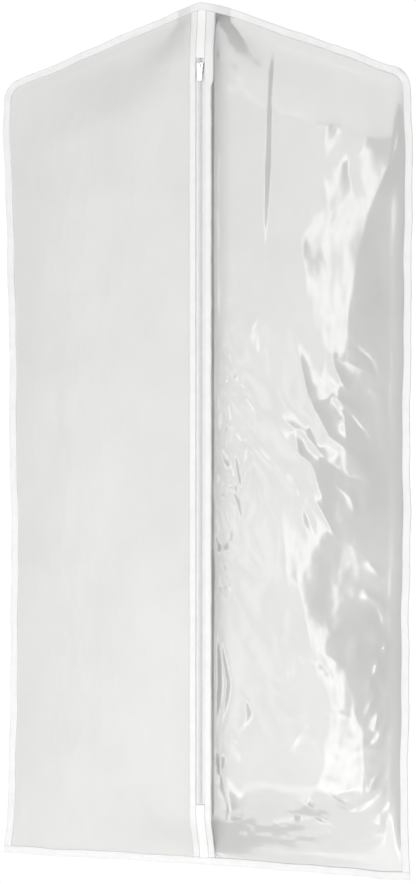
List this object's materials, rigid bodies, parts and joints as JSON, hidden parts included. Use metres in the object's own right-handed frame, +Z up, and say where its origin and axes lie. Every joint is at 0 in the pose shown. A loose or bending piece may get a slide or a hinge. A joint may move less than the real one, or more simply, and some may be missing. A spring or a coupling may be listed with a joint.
{
  "type": "garment bag",
  "caption": "Full-length hanging garment bag with sloped shoulders, a matte and a clear front panel, a centre zip, bound edges and an open peak for a hanger hook.",
  "frame": {"origin": "middle of the open mouth at the peak, level with the peak's top edge, where a hanger's hook passes", "axes": "+Z up out of the mouth, -Y out of the zipped front, +X to the right of someone facing the front"},
  "size_m": [0.61, 0.0318, 1.27],
  "materials": {
    "matte_panel": "off-white matte non-woven sheet, faintly mottled",
    "clear_vinyl": "clear glossy vinyl sheet with soft creases",
    "binding_tape": "white woven edge tape, folded over the seam and stitched",
    "zip_tape": "white woven zip tape",
    "zip_coil": "white nylon teeth",
    "zip_metal": "bright plated metal"
  },
  "bodies": {
    "bag": {"back_panel": "matte_panel", "binding_bottom": "binding_tape", "binding_corner_left": "binding_tape", "binding_corner_right": "binding_tape", "binding_shoulder_left": "binding_tape", "binding_shoulder_right": "binding_tape", "binding_side_left": "binding_tape", "binding_side_right": "binding_tape", "bottom_stop": "zip_metal", "front_panel_left": "matte_panel", "front_panel_right": "clear_vinyl", "mouth_binding_back": "binding_tape", "mouth_binding_front": "binding_tape", "placket_left": "binding_tape", "placket_right": "binding_tape", "top_stop_left": "zip_metal", "top_stop_right": "zip_metal", "zip_bottom_patch": "matte_panel", "zip_coil_left": "zip_coil", "zip_coil_right": "zip_coil", "zip_tape_left": "zip_tape", "zip_tape_right": "zip_tape", "zip_top_patch": "matte_panel"},
    "slider": {"slider_body": "zip_metal"},
    "pull_tab": {"pull_tab": "zip_metal"}
  },
  "joints": [
    {"name": "slider_slide", "type": "slide", "parent": "bag", "child": "slider", "axis": [0, 0, -1], "range_m": [0, 1.065]},
    {"name": "pull_swing", "type": "hinge", "parent": "slider", "child": "pull_tab", "pos_m": [0, -0.02049, -0.09648], "axis": [-1, 0, 0], "range_deg": [0, 170]}
  ]
}
